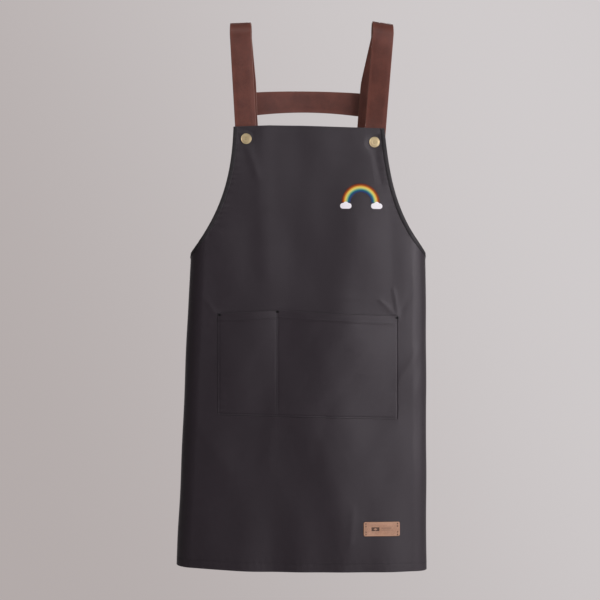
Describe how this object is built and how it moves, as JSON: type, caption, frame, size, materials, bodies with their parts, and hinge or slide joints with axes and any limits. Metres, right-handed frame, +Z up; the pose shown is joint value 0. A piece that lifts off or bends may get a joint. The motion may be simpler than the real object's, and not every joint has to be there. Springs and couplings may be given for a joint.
{
  "type": "bib apron",
  "caption": "Cross-back bib apron with leather shoulder straps on press snaps, side flaps that wrap behind the wearer and a divided front pocket.",
  "frame": {"origin": "on the centre line of the hanger bar that the shoulder straps go over, half-way between the straps", "axes": "+Z up, +X to the right seen from the front, -Y out of the front of the apron"},
  "size_m": [0.3949, 0.0669, 0.8703],
  "materials": {
    "apron_cloth": "smooth coated cotton twill, charcoal, soft satin",
    "binding_tape": "narrow woven tape, darker charcoal",
    "brown_leather": "coated red-brown leather, fine grain, satin",
    "tan_leather": "pale tan leather with a debossed plain mark",
    "antique_brass": "antique brass, turned rim",
    "plain_brass": "stamped brass",
    "dark_thread": "tight polyester thread",
    "brown_thread": "waxed thread",
    "red_print": "heat-pressed film",
    "gold_print": "heat-pressed film",
    "green_print": "heat-pressed film",
    "blue_print": "heat-pressed film",
    "white_print": "heat-pressed film"
  },
  "bodies": {
    "apron_body": {"front_panel": "apron_cloth", "pocket_panel": "apron_cloth", "pocket_bartacks": "dark_thread", "label_patch": "tan_leather", "label_corner_stitches": "brown_thread", "cross_strap": "brown_leather", "cross_strap_stitches": "brown_thread", "rainbow_red_band": "red_print", "rainbow_gold_band": "gold_print", "rainbow_green_band": "green_print", "rainbow_blue_band": "blue_print", "armhole_binding_left": "binding_tape", "cloud_left": "white_print", "strap_loop_left": "brown_leather", "strap_back_upper_left": "brown_leather", "bib_snap_left_cap": "antique_brass", "bib_snap_left_socket": "plain_brass", "armhole_binding_right": "binding_tape", "cloud_right": "white_print", "strap_loop_right": "brown_leather", "strap_back_upper_right": "brown_leather", "bib_snap_right_cap": "antique_brass", "bib_snap_right_socket": "plain_brass"},
    "left_front_strap": {"strap_front_left": "brown_leather", "bib_snap_left_stud": "plain_brass", "bib_snap_left_rivet": "plain_brass"},
    "left_back_strap": {"strap_back_lower_left": "brown_leather", "waist_snap_left_stud": "plain_brass", "waist_snap_left_rivet": "plain_brass"},
    "left_flap": {"flap_panel_left": "apron_cloth", "flap_binding_left": "binding_tape", "waist_snap_left_cap": "antique_brass", "waist_snap_left_socket": "plain_brass"},
    "right_front_strap": {"strap_front_right": "brown_leather", "bib_snap_right_stud": "plain_brass", "bib_snap_right_rivet": "plain_brass"},
    "right_back_strap": {"strap_back_lower_right": "brown_leather", "waist_snap_right_stud": "plain_brass", "waist_snap_right_rivet": "plain_brass"},
    "right_flap": {"flap_panel_right": "apron_cloth", "flap_binding_right": "binding_tape", "waist_snap_right_cap": "antique_brass", "waist_snap_right_socket": "plain_brass"}
  },
  "joints": [
    {"name": "left_front_strap_release", "type": "hinge", "parent": "apron_body", "child": "left_front_strap", "pos_m": [-0.1093, -0.0199, -0.00015], "axis": [1, 0, 0], "range_deg": [0, 9]},
    {"name": "right_front_strap_release", "type": "hinge", "parent": "apron_body", "child": "right_front_strap", "pos_m": [0.1165, -0.0199, -0.00015], "axis": [1, 0, 0], "range_deg": [0, 9]},
    {"name": "left_back_strap_release", "type": "hinge", "parent": "apron_body", "child": "left_back_strap", "pos_m": [-0.1003, 0.0199, -0.13165], "axis": [-1, 0, 0], "range_deg": [0, 6]},
    {"name": "right_back_strap_release", "type": "hinge", "parent": "apron_body", "child": "right_back_strap", "pos_m": [0.095, 0.0199, -0.13165], "axis": [-1, 0, 0], "range_deg": [0, 6]},
    {"name": "left_flap_opening", "type": "hinge", "parent": "apron_body", "child": "left_flap", "pos_m": [-0.1634, 0.025, -0.3475], "axis": [0.042, 0, 0.9991], "range_deg": [0, 120]},
    {"name": "right_flap_opening", "type": "hinge", "parent": "apron_body", "child": "right_flap", "pos_m": [0.1597, 0.025, -0.3475], "axis": [0.0014, 0, -1], "range_deg": [0, 120]}
  ]
}
